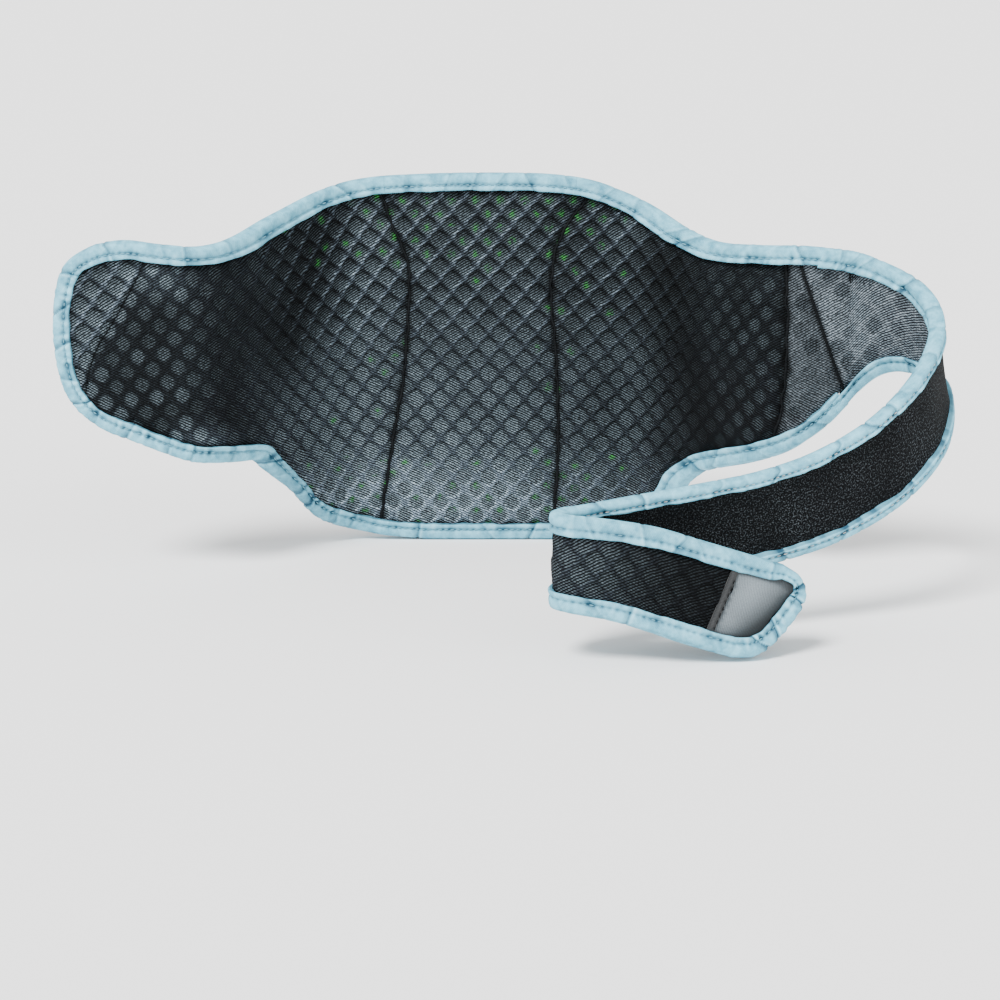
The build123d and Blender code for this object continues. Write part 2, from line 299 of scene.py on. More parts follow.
def strap_values(run, count):
    """The first few values of the strap's stations, drawn out to any run."""
    return np.stack([np.interp(run, STRAP_RUN, STRAP_FINE[:, k]) for k in range(count)], -1)


def half_width(run):
    return strap_values(run, 6)[..., 5]


def strap_depth(run):
    """How thick the strap is taken to be where tape is folded over its edge."""
    return STRAP_THICKNESS + 1.0 + 0 * run


def strap_point(run, across, lift):
    """A point of the strap, across from its middle line and lifted off its skin face."""
    run = np.clip(run, STRAP_RUN[0] + 1, STRAP_RUN[-1] - 1)
    row = strap_values(run, 5)
    lean, slant = np.tan(np.radians(row[..., 3])), np.tan(np.radians(row[..., 4]))
    width = unit(np.stack([slant, -lean, np.ones_like(run)], -1))
    normal = unit(np.cross(strap_values(run + 0.8, 3) - strap_values(run - 0.8, 3), width))
    return row[..., :3] + width * across[..., None] + normal * lift[..., None]


SEAM_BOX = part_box("left_panel_seam")
ORIGIN = np.array([
    (SEAM_BOX[0].x + SEAM_BOX[1].x) / 2 / MM - LEFT_SEAM_X,
    (SEAM_BOX[0].y + SEAM_BOX[1].y) / 2 / MM - BODY_THICKNESS / 2,
    0.0,
])


def to_frame(points):
    return (np.asarray(points, float) + ORIGIN) * MM


# ---- Outlines

TOP_PATH = spline(TIP_AND_TOP_EDGE, 1.0)
BOTTOM_PATH = np.vstack([spline(LEFT_FLARE, 1.0), spline(RIGHT_FLARE, 1.0)])
RIGHT_PATH = spline(RIGHT_LOWER_EDGE, 1.0)


def inset(path, distance):
    """A path moved to its right by a distance, or to its left where that is negative."""
    path = even(path, 0.7)[0]
    return path + right_normals(path) * distance


def edge_heights(distance):
    """Tables of the body's top and bottom edge, drawn in by a distance, and the x of its tip."""
    top = inset(TOP_PATH, distance)
    tip = int(np.argmin(top[:, 0]))
    upper, lower = top[tip:], top[:tip + 1][::-1]
    lower = lower[lower[:, 0] < LEFT_FLARE[0][0] - 1]
    middle, right = inset(BOTTOM_PATH, -distance), inset(RIGHT_PATH, -distance)
    bottom = np.vstack([lower, middle[middle[:, 0] > lower[-1, 0] + 0.5]])
    bottom = np.vstack([bottom[bottom[:, 0] < right[0, 0] - 1.0], right])
    return upper, bottom[np.argsort(bottom[:, 0])], top[tip, 0]


TOP_EDGE, BOTTOM_EDGE, TIP_IN_X = edge_heights(BODY_INSET)


def above_bottom(x, z):
    return z - table(BOTTOM_EDGE, x)


def below_top(x, z):
    return table(TOP_EDGE, x) - z


def edge_room(x, z):
    """Height left between a point and the nearer of the body's taped edges."""
    return np.minimum(below_top(x, z), above_bottom(x, z))


def seam_distance(x, z):
    """Distance to the nearest seam across the body."""
    return np.min([np.abs(x - bend_table(seam, z)) for seam in (LEFT_SEAM, RIGHT_SEAM, GUSSET_SEAM)], 0)


def seam_groove(x, z):
    """1 in the seams across the body, falling to 0 beside them."""
    return hill(seam_distance(x, z), 0, GROOVE_REACH)


# ---- Honeycomb

def honeycomb(u, v):
    """The cell each point is in: how far from its middle, its number, and where in it."""
    found = []
    for k in (0.0, 0.5):
        i = np.round(u / CELL_PITCH - k)
        j = np.round(v / (2 * ROW_PITCH) - k)
        across = (u - (i + k) * CELL_PITCH) / (CELL_PITCH / 2)
        up = (v - (j + k) * 2 * ROW_PITCH) / ROW_PITCH
        side = np.abs(across) / 0.67
        roof = (np.abs(up) + 0.6 * np.abs(across)) / 0.72
        metric = 0.7 * (side ** 6 + roof ** 6 + 1e-9) ** (1 / 6)
        number = (i * 2 + 2 * k) * 131.0 + (j * 2 + 2 * k) * 71.0
        found.append((metric, number, across, up))
    closer = found[1][0] < found[0][0]
    return [np.where(closer, new, old) for old, new in zip(*found)]


def chance(number, salt):
    """A repeatable value from 0 to 1 for each cell."""
    return np.modf(np.abs(np.sin(number * 12.9898 + salt) * 43758.5453))[0]


def cell_shading(metric, across, up, slant, low=0.0):
    """Cell mask and painted light: painted highlights on ribs rising to the right high up, painted shade in
    the cells' upper parts and under their upper rims, painted highlights on ribs and rims low down.
    """
    cell = 1 - smoothstep((metric - 0.65) / 0.11)
    reach = (np.abs(across) + np.abs(up) + 0.01) ** 2
    side = np.clip(-4 * across * up / reach, -1, 1)
    # Painted light: high up, ribs rising to the right get painted highlights and the others painted shade,
    # and cells get painted shade towards their tops; low down, ribs get painted highlights.
    ribs = 0.78 + slant * (2.9 * np.maximum(side, 0) - 0.5 * np.maximum(-side, 0)) + 1.4 * low
    inside = 1.1 - slant * (0.5 + 0.55 * np.clip(up, -0.8, 0.8)) - 0.3 * low
    # Painted shadow under each cell's upper rim high up, and a painted highlight round every rim low down.
    roof = hill(metric, 0.70, 0.07) * np.clip(3 * up, 0, 1) * (1 - low)
    rim = hill(metric, 0.69, 0.07) * low
    return cell, (ribs * (1 - cell) + inside * cell) * (1 - 0.9 * roof) * (1 + 0.8 * rim)


def sparse_shading(metric, number):
    """Cell mask and tone where only some cells show, as darker patches on pale cloth."""
    cell = (1 - smoothstep((metric - 0.5) / 0.4)) * ramp(chance(number, 5.0), 0.2, 0.9)
    return cell, 1.14 - 0.48 * cell


def dot_shading(metric, number):
    """Cell mask and tone where the padding shows as pale cells on darker cloth."""
    dot = 1 - smoothstep((metric - 0.42) / 0.3)
    return dot, 0.5 + dot * (0.4 + 1.35 * chance(number, 7.7))


# ---- Meshes

def link(name, data):
    """A new object in the scene."""
    made = bpy.data.objects.new(name, data)
    bpy.context.scene.collection.objects.link(made)
    return made


def new_piece(name, vertices, faces, attributes=None, uv=None):
    """A mesh object in the row frame from points in the design's millimetres."""
    mesh = bpy.data.meshes.new(name)
    mesh.from_pydata(to_frame(vertices).tolist(), [], faces)
    for key, values in (attributes or {}).items():
        layer = mesh.attributes.new(key, "FLOAT", "POINT")
        layer.data.foreach_set("value", np.asarray(values, np.float32))
    if uv is not None:
        loops = np.zeros(len(mesh.loops), np.int32)
        mesh.loops.foreach_get("vertex_index", loops)
        layer = mesh.uv_layers.new(name="cloth")
        layer.data.foreach_set("uv", np.asarray(uv, np.float32)[loops].ravel())
    mesh.polygons.foreach_set("use_smooth", [True] * len(mesh.polygons))
    return link(name, mesh)


def grid_faces(rows, columns, start=0, flip=False):
    r, c = np.meshgrid(np.arange(rows - 1), np.arange(columns - 1), indexing="ij")
    a = start + r * columns + c
    faces = np.stack([a, a + columns, a + columns + 1, a + 1], -1).reshape(-1, 4)
    return (faces[:, ::-1] if flip else faces).tolist()


def border(rows, columns):
    """The numbers of a grid's outermost points, in order round it."""
    numbers = np.arange(rows * columns).reshape(rows, columns)
    return np.concatenate([numbers[0, :-1], numbers[:-1, -1], numbers[-1, :0:-1], numbers[:0:-1, 0]])


def slab(name, front, back, attributes=None, uv=None):
    """A closed layer between two matching grids of points (rows, columns, 3)."""
    rows, columns = front.shape[:2]
    count = rows * columns
    vertices = np.vstack([front.reshape(-1, 3), back.reshape(-1, 3)])
    edge = border(rows, columns)
    following = np.roll(edge, -1)
    faces = grid_faces(rows, columns) + grid_faces(rows, columns, count, True)
    faces += np.stack([edge, following, following + count, edge + count], 1).tolist()
    doubled = {key: np.tile(values.ravel(), 2) for key, values in (attributes or {}).items()}
    if uv is not None:
        uv = np.tile(uv.reshape(-1, 2), (2, 1))
    return new_piece(name, vertices, faces, doubled, uv)


def tube_faces(rings, sides):
    """Faces of a closed tube whose points go round ring by ring."""
    ring = np.arange(sides)
    a = np.arange(rings - 1)[:, None] * sides + ring
    b = np.roll(a, -1, axis=1)
    walls = np.stack([a, b, b + sides, a + sides], -1).reshape(-1, 4)
    return walls.tolist() + [ring[::-1].tolist(), ((rings - 1) * sides + ring).tolist()]


# ---- Materials

class Value:
    """A number, colour or vector worked out in a material's node tree."""

    def __init__(self, nodes, socket):
        self.nodes = nodes
        self.socket = socket

    def __add__(self, other):
        return self.nodes.math("ADD", self, other)

    def __sub__(self, other):
        return self.nodes.math("SUBTRACT", self, other)

    def __mul__(self, other):
        return self.nodes.math("MULTIPLY", self, other)

    def above(self, least):
        return self.nodes.math("MAXIMUM", self, least)


class Nodes:
    """A short way to write a material's node tree."""

    def __init__(self, name):
        self.material = bpy.data.materials.new(name)
        self.material.use_nodes = True
        self.tree = self.material.node_tree

    def feed(self, node, inputs):
        """Set a node's inputs, by name or number, to plain values or to other nodes' values."""
        for key, value in inputs.items():
            if isinstance(value, Value):
                self.tree.links.new(value.socket, node.inputs[key])
            else:
                node.inputs[key].default_value = value

    def node(self, kind, inputs, output=0, **settings):
        """The value that a new node gives."""
        made = self.tree.nodes.new(kind)
        for key, value in settings.items():
            setattr(made, key, value)
        self.feed(made, inputs)
        return Value(self, made.outputs[output])

    def math(self, operation, a, b):
        return self.node("ShaderNodeMath", {0: a, 1: b}, operation=operation)

    def mix(self, share, a, b):
        """From colour a to colour b as the share goes from 0 to 1."""
        return self.node("ShaderNodeMix", {0: share, 6: a, 7: b}, 2, data_type="RGBA")

    def value(self, name):
        return self.node("ShaderNodeAttribute", {}, "Fac", attribute_name=name)

    def noise(self, vector, scale, detail=2.0, rough=0.5):
        inputs = {"Scale": scale, "Detail": detail, "Roughness": rough, "Vector": vector}
        return self.node("ShaderNodeTexNoise", inputs, "Fac")

    def curve(self, value, low, high):
        inputs = {"Value": value, "From Min": low, "From Max": high}
        return self.node("ShaderNodeMapRange", inputs, interpolation_type="SMOOTHSTEP")

    def cloth(self):
        """The cloth's own coordinates in millimetres: two values and one vector."""
        vector = self.node("ShaderNodeUVMap", {}, uv_map="cloth")
        u, v = self.node("ShaderNodeSeparateXYZ", {0: vector}).socket.node.outputs[:2]
        return Value(self, u), Value(self, v), vector

    def place(self):
        return self.node("ShaderNodeTexCoord", {}, "Object")

    def stripes(self, value, pitch):
        """A value swinging from 0 to 1 once each pitch."""
        return self.math("SINE", value * (2 * math.pi / pitch), 0.0) * 0.5 + 0.5

    def bump(self, height, strength, distance):
        return self.node("ShaderNodeBump", {"Height": height, "Strength": strength, "Distance": distance})

    def finish(self, colour, roughness, normal=None, sheen=0.0, specular=0.5):
        inputs = {"Base Color": colour, "Roughness": roughness, "Sheen Weight": sheen,
                  "Sheen Roughness": 0.45, "Specular IOR Level": specular}
        if normal is not None:
            inputs["Normal"] = normal
        self.feed(self.tree.nodes["Principled BSDF"], inputs)
        return self.material


def grey(value, tint=(0.92, 1.0, 1.06)):
    return tuple(value * part for part in tint) + (1.0,)


def knit(n, u, v, vector):
    """The knitted mesh: slanting rows of yarn broken by tiny holes, 1 on the yarn."""
    wobble = n.noise(vector, 0.3) * 0.8
    up = n.stripes(u * -0.5 + v * 0.87 + wobble, YARN_PITCH)
    down = n.stripes(u * 0.42 + v * 0.91 - wobble, YARN_PITCH)
    rows = down + (up - down) * n.curve(v, 58.0, 100.0)
    return up * down * 0.45 + rows * 0.55


def mesh_material(name, rib, cell):
    """Dark spacer mesh: fine-holed cells between smoother ribs, green seen through some cells, with painted
    light and shade.
    """
    n = Nodes(name)
    u, v, vector = n.cloth()
    yarn = knit(n, u, v, vector)
    fuzz = n.noise(vector, 1.0, 2.0, 0.6)
    inside = n.curve(n.value("cell"), 0.15, 0.75)
    weave = (yarn * 3.9 - 1.55) * (inside * 0.35 + 0.65) + 1.0
    # Painted light and shade, carried as an attribute, scale the mesh colour.
    lit = weave.above(0.03) * n.value("tone_and_painted_light")
    lit = lit * (n.noise(vector, 0.06, 3.0) * 1.2 + 0.4) * (fuzz * 3.6 - 0.8).above(0.06)
    shaded = n.node("ShaderNodeVectorMath", {0: n.mix(inside, rib, cell), 1: lit}, operation="MULTIPLY")
    seen = n.value("green") * n.curve(yarn, 0.2, 0.7) * n.curve(n.noise(vector, 0.55), 0.38, 0.62)
    colour = n.mix(seen, shaded, (0.03, 0.24, 0.04, 1.0))
    return n.finish(colour, 0.85, n.bump(yarn + fuzz * 0.5, 0.6, 0.0004), specular=0.08)


def binding_material():
    """Powder-blue woven tape, with painted shade in its creases and painted highlights beside them."""
    n = Nodes("binding_tape")
    u, v, vector = n.cloth()
    weave = n.stripes(u + v * 0.55, 0.62) * n.stripes(u - v * 1.4, 0.55) * 0.35 + 0.65
    share = n.noise(n.place(), 230.0, 5.0, 0.66) * 2.2 + (weave * 0.7 - 1.0)
    colour = n.mix(share, (0.04, 0.19, 0.28, 1.0), (0.215, 0.56, 0.70, 1.0))
    painted_shading = n.value("painted_shading")
    # Painted shade towards dark blue and painted highlights towards pale blue.
    colour = n.mix(painted_shading * 0.97, colour, (0.008, 0.05, 0.09, 1.0))
    colour = n.mix(painted_shading * -1.0, colour, (0.42, 0.76, 0.87, 1.0))
    height = weave + n.noise(vector, 2.4) * 0.8
    return n.finish(colour, 0.65, n.bump(height, 0.35, 0.0002), specular=0.25)


def pile_material():
    """Black loop pile with painted pale glints where loops catch the light."""
    n = Nodes("loop_pile")
    vector = n.cloth()[2]
    loops = n.noise(vector, 1.7, 2.0, 0.6)
    # Painted glints: pale where the loops catch the light.
    share = n.curve(loops, 0.5, 0.7) * (n.noise(vector, 0.05) * 1.7 - 0.1)
    colour = n.mix(share, (0.001, 0.0014, 0.0018, 1.0), (0.062, 0.074, 0.082, 1.0))
    return n.finish(colour, 0.9, n.bump(loops, 0.8, 0.0006), 0.03, 0.08)


def thread_material(name, colour):
    """Twisted thread, with painted shade between its strands."""
    n = Nodes(name)
    twist = n.noise(n.place(), 2500.0)
    shade = n.mix(twist * 0.8 + 0.1, tuple(part * 0.55 for part in colour) + (1.0,), colour + (1.0,))
    return n.finish(shade, 0.7, n.bump(twist, 0.4, 0.0001), specular=0.1)


def hook_material():
    """Satin grey hook fabric: fine rows, a soft cloudy painted sheen, and the patch's painted light and
    shade.
    """
    n = Nodes("hook_patch")
    u, _, vector = n.cloth()
    rows = n.stripes(u, 0.55)
    grain = n.noise(vector, 2.2, 3.0, 0.6)
    share = rows * 0.22 + grain * 0.5 + n.noise(vector, 0.06) * 0.3
    # Painted light and shade set how far the colour goes from dark to pale grey.
    colour = n.mix(share * n.value("tone_and_painted_light"), grey(0.008), grey(0.31, (0.84, 1.0, 1.1)))
    return n.finish(colour, 0.6, n.bump(rows + grain, 0.25, 0.0002), specular=0.12)


def strip_material():
    """Dark ribbed tape along the patch's inner end."""
    n = Nodes("edge_strip")
    _, v, vector = n.cloth()
    rib, grain = n.stripes(v, 0.5), n.noise(vector, 2.0)
    colour = n.mix(rib * 0.3 + grain * 0.6, grey(0.004), grey(0.04))
    return n.finish(colour, 0.7, n.bump(rib + grain, 0.4, 0.0002), 0.1, 0.3)


def foam_material():
    """Green foam with small pores."""
    n = Nodes("green_foam")
    pores = n.node("ShaderNodeTexVoronoi", {"Vector": n.place(), "Scale": 900.0}, "Distance")
    share = n.noise(n.place(), 60.0) * 0.6 + pores * 0.5
    colour = n.mix(share, (0.03, 0.20, 0.05, 1.0), (0.15, 0.55, 0.18, 1.0))
    return n.finish(colour, 0.85, n.bump(pores, 0.6, 0.0005), specular=0.3)


MATERIALS = {
    "mesh": mesh_material("honeycomb_mesh", (0.016, 0.021, 0.026, 1.0), (0.026, 0.034, 0.039, 1.0)),
    "flat": mesh_material("flat_mesh", (0.030, 0.036, 0.041, 1.0), (0.018, 0.023, 0.027, 1.0)),
    "binding": binding_material(),
    "pile": pile_material(),
    "hook": hook_material(),
    "strip": strip_material(),
    "foam": foam_material(),
    "pale_thread": thread_material("pale_thread", (0.17, 0.40, 0.50)),
    "white_thread": thread_material("white_thread", (0.70, 0.74, 0.76)),
    "dark_thread": thread_material("dark_thread", (0.003, 0.004, 0.005)),
}


def join(piece, material, slot, place, *nodes):
    """Give a piece its look, place it, and hide the CAD nodes it stands for."""
    piece.data.materials.append(MATERIALS[material])
    place(piece)
    if nodes:
        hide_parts(*nodes)
    return piece


# ---- Placing each piece: the centre's pieces hang from the centre's body, the others have their placement baked in


def to_centre(piece):
    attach(piece, "centre")


def to_left(piece):
    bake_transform(piece)


def to_right(piece):
    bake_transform(piece)


def to_strap(piece):
    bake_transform(piece)


def to_end(piece):
    """Bakes the piece's placement into its mesh."""
    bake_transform(piece)


PLACES = {"centre": to_centre, "left": to_left, "right": to_right}


# ---- Body layers

# Painted light along the body's wall, by x: bright on the wing tip and the centre, painted shade in the
# valleys on either side of the centre.
BODY_PAINTED_LIGHT = [
    (-165, 2.1), (-155, 2.0), (-148, 0.62), (-128, 0.44), (-112, 0.4), (-95, 0.34), (-80, 0.8), (-56, 1.8),
    (-42, 1.4), (12, 1.28), (26, 0.9), (48, 0.92), (60, 0.55), (74, 0.3), (92, 0.34), (103, 0.36),
]


def past_crease(x, z):
    """x, moved near the left tip so that the slanted crease there lies at one value."""
    return x - (bend_table(TIP_SEAM, z) + 150) * ramp(-x, 112, 134)


def body_painted_light(x, z):
    """Painted light on the padded mesh: painted shade between the folds of the wings and next to the tape,
    painted highlights on crests, along the left wing's edges and at the bottom of the centre, and painted
    shade and highlight at the tip's crease.
    """
    # Painted shade in the valleys between the wings' folds, painted light at the bottom of the centre,
    # painted highlights on crests and along the left wing's edges.
    left = hill(x, -64 - (138 - z) * 0.34, 11) * ramp(z, 150, 120)
    right = hill(x, 57 + (130 - z) * 0.28, 12) * ramp(z, 150, 120)
    low = hill(z, 14, 24) * hill(x, -18, 56)
    crest_highlight = hill(x, -88, 8) * hill(z, 60, 16) + hill(x, 52, 9) * hill(z, 128, 12)
    crest_highlight = crest_highlight + 4.2 * hill(above_bottom(x, z), 3, 5) * hill(x, -109, 10)
    crest_highlight = crest_highlight + 1.5 * hill(below_top(x, z), 7, 6) * hill(x, -123, 10)
    # Painted shade in the tip seam's crease with a painted highlight beside it, and painted shadow along
    # the tape.
    tip_seam = bend_table(TIP_SEAM, z)
    crease = (1 - 0.75 * hill(x, tip_seam, 0.8)) * (1 + 0.6 * hill(x, tip_seam - 2.2, 1.2))
    rim = 1 - 0.75 * hill(edge_room(x, z), 0.9, 1.3)
    swing = 0.22 * np.clip(100 - z, 0, None) * hill(x, -86, 22)
    tone_and_painted_light = rim * crease * table(BODY_PAINTED_LIGHT, past_crease(x, z) + swing)
    return tone_and_painted_light * (1 - 0.6 * left) * (1 - 0.45 * right) * (1 + 1.15 * low + 1.1 * crest_highlight)


def body_green(x, z, number):
    """Green core seen through a few cells, near the seams and the panels' ends."""
    ends = ramp(z, 82, 132) + ramp(z, 40, 16)
    seams = hill(x, -44, 9) + hill(x, 22, 8)
    left = hill(x, -62, 14) * ramp(z, 60, 20)
    likely = np.clip(0.62 * ends + 0.3 * seams + 0.45 * left, 0, 0.8)
    likely = likely * ramp(np.abs(x + 10), 78, 50)
    return (chance(number, 3.1) < likely).astype(float)


def body_grid(panel, step):
    """Points x, z of a panel: (x where it starts, x where it ends, whether that is the tip).

    Both are functions of z. The points come closer together where the panel runs into the tip.
    """
    x_from, x_to, tip = panel
    heights = np.array([70.0, 90.0, 110.0])
    columns = max(4, int(np.max(x_to(heights) - x_from(heights)) / step))
    rows = max(8, int(PANEL_HEIGHT / step))
    t, s = unit_grid(rows, columns)
    if tip:
        s = 1 - np.cos(s * math.pi / 2)
    z = np.full((rows, columns), 75.0)
    for _ in range(12):
        x = x_from(z) + (x_to(z) - x_from(z)) * s
        low, high = table(BOTTOM_EDGE, x), table(TOP_EDGE, x)
        z = low + (high - low) * t
    return x, z


def refine(values, count):
    """Values drawn out smoothly to a larger count along the first axis."""
    at = np.linspace(0, len(values) - 1, count)
    low = np.clip(at.astype(int), 0, len(values) - 2)
    padded = np.concatenate([2 * values[:1] - values[1:2], values, 2 * values[-1:] - values[-2:-1]])
    return catmull(padded[low], padded[low + 1], padded[low + 2], padded[low + 3], (at - low)[:, None])


def blown_height(x, z):
    """Height of a flat cloth, pinned all round its border, once it is blown up from behind."""
    rows, columns = x.shape
    flat = np.stack([arc_length(x), z, 0 * z], -1).reshape(-1, 3) * MM
    mesh = bpy.data.meshes.new("swell")
    mesh.from_pydata(flat.tolist(), [], grid_faces(rows, columns, flip=True))
    cloth_piece = link("swell", mesh)
    cloth_piece.vertex_groups.new(name="sewn").add(border(rows, columns).tolist(), 1.0, "REPLACE")
    settings = cloth_piece.modifiers.new("Cloth", "CLOTH").settings
    settings.effector_weights.gravity = 0
    for key, value in SWELL_CLOTH.items():
        setattr(settings, key, value)
    for step in range(1, SWELL_FRAMES + 1):
        bpy.context.scene.frame_set(step)
    blown = cloth_piece.evaluated_get(bpy.context.evaluated_depsgraph_get()).data
    places = np.zeros(len(blown.vertices) * 3, np.float32)
    blown.vertices.foreach_get("co", places)
    bpy.data.objects.remove(cloth_piece)
    bpy.data.meshes.remove(mesh)
    bpy.context.scene.frame_set(1)
    return places.reshape(rows, columns, 3)[..., 2] / MM


def swell(panel, shape):
    """The puff of a padded panel on a grid of the given shape."""
    height = blown_height(*body_grid(panel, SWELL_STEP))
    height[1:-1, 1:-1] = (height[1:-1, 1:-1] * 2 + height[:-2, 1:-1] + height[2:, 1:-1]
                          + height[1:-1, :-2] + height[1:-1, 2:]) / 6
    wide = refine(refine(height, shape[0]).T, shape[1]).T
    return SWELL_LIMIT * np.tanh(np.clip(wide, 0, None) / SWELL_LIMIT)


def body_lift(x, z, puff=0.0):
    """How far the padded skin face stands proud: blown-up panels, pulled in at seams and edges."""
    room = np.clip(edge_room(x, z), 0, None)
    gather = wave(z, (17, 0.35, 0.4), (9.5, 0.22, 1.7), (29, 0.3, 2.6))
    pull = gather * np.exp(-seam_distance(x, z) / 9.0)
    ripple = wave(x + 0.3 * z, (47, 0.35, 0.2), (31, 0.25, 2.0)) * np.exp(-room / 14)
    return puff - 1.3 - 0.7 * seam_groove(x, z) + pull + ripple - 1.1 * ramp(x, 125, 132)


def panel_cells(x, z, metric, number, across, up, relief):
    """Cell mask and painted light of a padded facing, turning to pale dots on the wings."""
    # The cells' painted light leans to one side more towards the top, and gets painted highlights towards
    # the bottom.
    slant = (0.1 + 0.9 * ramp(z, 60, 104)) * relief
    cell, shading = cell_shading(metric, across, up, slant, ramp(z, 44, 14))
    dot, dotted = dot_shading(metric, number)
    faint = 1 - 0.55 * ramp(z, 98, 122)
    dotted = 1 + (dotted - 1) * faint * np.maximum(ramp(-x, 98, 124), 0.65 * ramp(x, 70, 92))
    wing = ramp(-x, 78, 100) * ramp(past_crease(x, z), -152, -148) + ramp(x, 66, 80)
    return cell + (dot - cell) * wing, shading + (dotted - shading) * wing


def body_slab(name, x, z, front, back, attributes=None):
    """A layer of the body between two lifts off its skin face."""
    uv = np.stack([arc_length(x), z], -1)
    return slab(name, body_point(x, z, front), body_point(x, z, back), attributes, uv)


def liner(name, panel, tilt, relief, shine):
    """One skin-side facing with the honeycomb standing in it; with a shine, it is paler and plain."""
    x, z = body_grid(panel, LINER_STEP)
    metric, number, across, up = honeycomb(*turned(arc_length(x), z, tilt))
    base = body_lift(x, z, swell(panel, x.shape))
    cell, shading = panel_cells(x, z, metric, number, across, up, relief)
    lift = base - CELL_DEPTH * relief * cell * ramp(seam_distance(x, z), 0.5, 4)
    if shine:
        cell, shading = sparse_shading(metric, number)
    spot = 1 - smoothstep((np.hypot(across, up + 0.15 - 0.55 * ramp(z, 44, 14)) - 0.06) / 0.36)
    groove = 1.55 + wave(z, (19, 0.5, 0.3), (8.7, 0.4, 1.1), (5.1, 0.2, 0.4))
    # Painted light and shade of the cells and the wall, or on the paler pieces their own tone and cell
    # pattern; painted shade in the seam grooves and along the root seam.
    tone_and_painted_light = shading * (shine or body_painted_light(x, z)) * (1 - 0.93 * hill(seam_distance(x, z), 0, groove))
    tone_and_painted_light = tone_and_painted_light * (1 - 0.8 * hill(x - bend_table(ROOT_SEAM, z), 0, 1.3))
    attributes = {"cell": cell * relief, "green": spot * body_green(x, z, number), "tone_and_painted_light": tone_and_painted_light}
    wall = 1.8 - 0.3 * seam_groove(x, z) - 1.3 * ramp(x, 121, 127)
    return body_slab(name, x, z, lift, base - wall, attributes)


def shell(name, panel):
    """One outer facing, plain, with a soft crown."""
    x, z = body_grid(panel, SHELL_STEP)
    room = np.clip(edge_room(x, z), 0, None)
    ripple = wave(x - 0.4 * z, (53, 0.4, 1.0), (37, 0.3, 0.4)) * np.exp(-room / 18)
    puff = swell(panel, x.shape)
    lift = 1.2 - body_thickness(x) - 0.7 * puff - ripple + 0.7 * seam_groove(x, z)
    return body_slab(name, x, z, lift + 1.0, lift)


def core(name, panel):
    """One foam pad between liner and shell, kept inside both."""
    x, z = body_grid(panel, CORE_STEP)
    edge = 1 - np.exp(-np.clip(edge_room(x, z), 0, None) / 5.0)
    near = np.clip(seam_distance(x, z) / 4.0, 0.15, 1.0)
    middle = -0.25 - body_thickness(x) / 2
    half = 0.15 + 0.85 * edge * near * ramp(body_thickness(x), 4.2, 7.0)
    return slab(name, body_point(x, z, middle + half), body_point(x, z, middle - half))


def declare(piece, panel):
    """Work out the flat size of the cloth a body facing is made of; nothing is kept."""
    x, z = body_grid(panel, 1.0)
    u = arc_length(x)
    across = np.stack([np.diff(u, axis=1)[:-1], np.diff(z, axis=1)[:-1]])
    up = np.stack([np.diff(u, axis=0)[:, :-1], np.diff(z, axis=0)[:, :-1]])
    flat = (float(np.ptp(u)) * MM, float(np.ptp(z)) * MM)


def seam_line(rows):
    return lambda z: bend_table(rows, z)


def at_x(x):
    return lambda z: np.full(np.shape(z), float(x))


def root_line(z):
    """The slanted seam, but no further than where the strap's own layers start."""
    return np.minimum(bend_table(ROOT_SEAM, z), OVERLAP_X)


def build_body():
    tip_end, start, root_end = at_x(TIP_IN_X + 0.4), at_x(OVERLAP_X), at_x(OVERLAP_X + 6)
    left, right = seam_line(LEFT_SEAM), seam_line(RIGHT_SEAM)
    tip_seam, gusset = seam_line(TIP_SEAM), seam_line(GUSSET_SEAM)
    panels = [
        ("centre", (left, right, False), "centre"),
        ("left", (tip_end, left, True), "left_wing"),
        ("right", (right, start, False), "right_wing"),
    ]
    for side, panel, node in panels:
        piece = join(core("core_" + side, panel), "foam", "green_foam", PLACES[side], node + "_core")

    facings = [
        ("centre", (left, right, False), 0, 1.0, None, "centre_liner", "centre"),
        ("left", (tip_seam, left, False), -6, 1.0, None, "left_wing_liner", "left"),
        ("left_tip", (tip_end, tip_seam, True), -6, 0.8, None, "left_tip_liner", "left"),
        ("right", (right, gusset, False), 3, 1.0, None, "right_wing_liner", "right"),
        ("gusset", (gusset, root_line, False), 3, 0.45, 1.35, "strap_gusset", "right"),
        ("root", (root_line, root_end, False), 3, 0.45, 2.75, "strap_root_liner", "right"),
    ]
    for name, panel, tilt, relief, shine, node, side in facings:
        piece = liner("liner_" + name, panel, tilt, relief, shine)
        material, slot = ("flat", "flat_mesh") if shine else ("mesh", "honeycomb_mesh")
        join(piece, material, slot, PLACES[side], node)
        declare(piece, panel)

    for side, panel, node in panels:
        piece = join(shell("shell_" + side, panel), "pile", "loop_pile", PLACES[side], node + "_shell")
        declare(piece, panel)


# ---- Binding tape and stitches

# A wall that tape is folded over: its surface, its depth along the edge, how proud the tape's
# edges start, how wide its back is against its front and how much it widens inwards
Wall = namedtuple("Wall", "point depth proud back flare")
BODY_WALL = Wall(body_point, body_thickness, 0.0, 1.0, 1.15)
STRAP_WALL = Wall(strap_point, strap_depth, 0.95, BACK_SHARE, 0.55)

# The line a tape is sewn along: its path, the way in from the edge, distances along it, and how
# far in the stitches come on the front and on the back
SewnLine = namedtuple("SewnLine", "path normals at front back")


def eased(normals, spacing, reach):
    """Directions along a path, each averaged with its neighbours, so tight corners gather."""
    count = int(3 * reach / spacing)
    weights = hill(np.arange(-count, count + 1) * spacing, 0, reach)
    padded = np.pad(normals, ((count, count), (0, 0)), "edge")
    return unit(np.stack([np.convolve(part, weights, "valid") for part in padded.T], 1))


